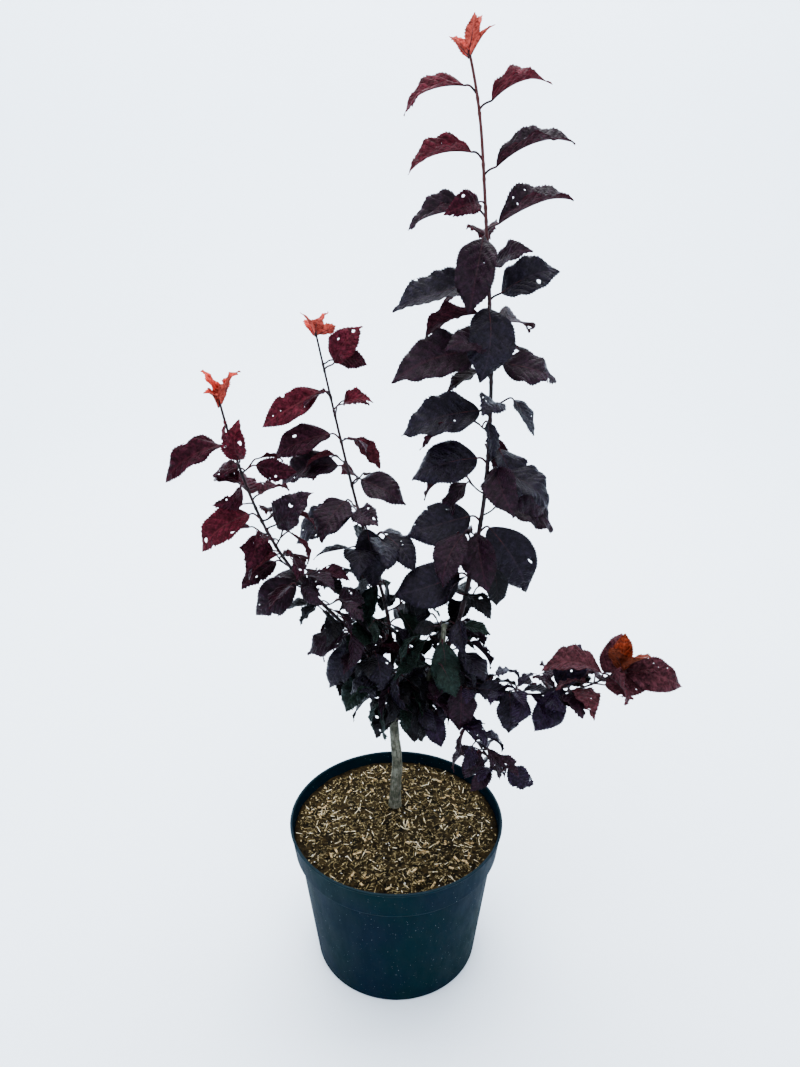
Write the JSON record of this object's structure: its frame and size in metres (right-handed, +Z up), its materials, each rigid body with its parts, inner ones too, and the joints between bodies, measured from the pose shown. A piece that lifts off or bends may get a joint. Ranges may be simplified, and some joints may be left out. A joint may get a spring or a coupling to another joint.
{
  "type": "potted purple-leaved cherry plum tree",
  "caption": "Young purple-leaved cherry plum tree with slender stems, dark plum foliage and orange-red shoot tips, growing in a dark round nursery pot of compost.",
  "frame": {"origin": "centre of the flat underside of the pot, on the ground", "axes": "+Z up along the pot's axis, +X to the right and -Y towards the viewer as in the reference view"},
  "size_m": [0.5957, 0.28, 1.1369],
  "materials": {
    "pot_plastic": "satin, dark blue-green, lightly dusty",
    "compost": "matt brown wood fibre with pale slivers",
    "grey_bark": "smooth grey-brown bark with cross marks",
    "purple_bark": "smooth dark purple bark of young shoots",
    "foliage_coral": "young orange-red leaves, faint sheen",
    "foliage_crimson": "crimson leaves, satin",
    "foliage_plum": "dark plum leaves, satin",
    "foliage_green": "dark bronze-green leaves, satin"
  },
  "bodies": {
    "root": {"pot": "pot_plastic", "compost": "compost", "trunk": "grey_bark", "old_limb": "grey_bark", "leader_stem": "purple_bark", "centre_left_stem": "purple_bark", "far_left_stem": "purple_bark", "low_right_stem": "purple_bark", "drooping_twig": "purple_bark", "leader_foliage_01": "foliage_coral", "leader_foliage_02": "foliage_crimson", "leader_foliage_03": "foliage_crimson", "leader_foliage_04": "foliage_crimson", "leader_foliage_05": "foliage_plum", "leader_foliage_06": "foliage_plum", "leader_foliage_07": "foliage_plum", "leader_foliage_08": "foliage_plum", "leader_foliage_09": "foliage_plum", "leader_foliage_10": "foliage_plum", "leader_foliage_11": "foliage_plum", "leader_foliage_12": "foliage_plum", "leader_foliage_13": "foliage_plum", "leader_foliage_14": "foliage_plum", "leader_foliage_15": "foliage_plum", "leader_foliage_16": "foliage_plum", "leader_foliage_17": "foliage_plum", "leader_foliage_18": "foliage_plum", "leader_foliage_19": "foliage_plum", "centre_left_foliage_01": "foliage_coral", "centre_left_foliage_02": "foliage_crimson", "centre_left_foliage_03": "foliage_crimson", "centre_left_foliage_04": "foliage_crimson", "centre_left_foliage_05": "foliage_plum", "centre_left_foliage_06": "foliage_plum", "centre_left_foliage_07": "foliage_plum", "centre_left_foliage_08": "foliage_plum", "centre_left_foliage_09": "foliage_plum", "centre_left_foliage_10": "foliage_plum", "far_left_foliage_01": "foliage_coral", "far_left_foliage_02": "foliage_crimson", "far_left_foliage_03": "foliage_crimson", "far_left_foliage_04": "foliage_crimson", "far_left_foliage_05": "foliage_plum", "far_left_foliage_06": "foliage_plum", "far_left_foliage_07": "foliage_plum", "far_left_foliage_08": "foliage_plum", "far_left_foliage_09": "foliage_plum", "heart_foliage_01": "foliage_plum", "heart_foliage_02": "foliage_green", "heart_foliage_03": "foliage_plum", "heart_foliage_04": "foliage_plum", "heart_foliage_05": "foliage_plum", "low_right_foliage_01": "foliage_crimson", "low_right_foliage_02": "foliage_crimson", "low_right_foliage_03": "foliage_plum", "low_right_foliage_04": "foliage_plum", "low_right_foliage_05": "foliage_plum", "low_right_foliage_06": "foliage_plum", "drooping_foliage_01": "foliage_plum", "drooping_foliage_02": "foliage_plum"}
  },
  "joints": []
}
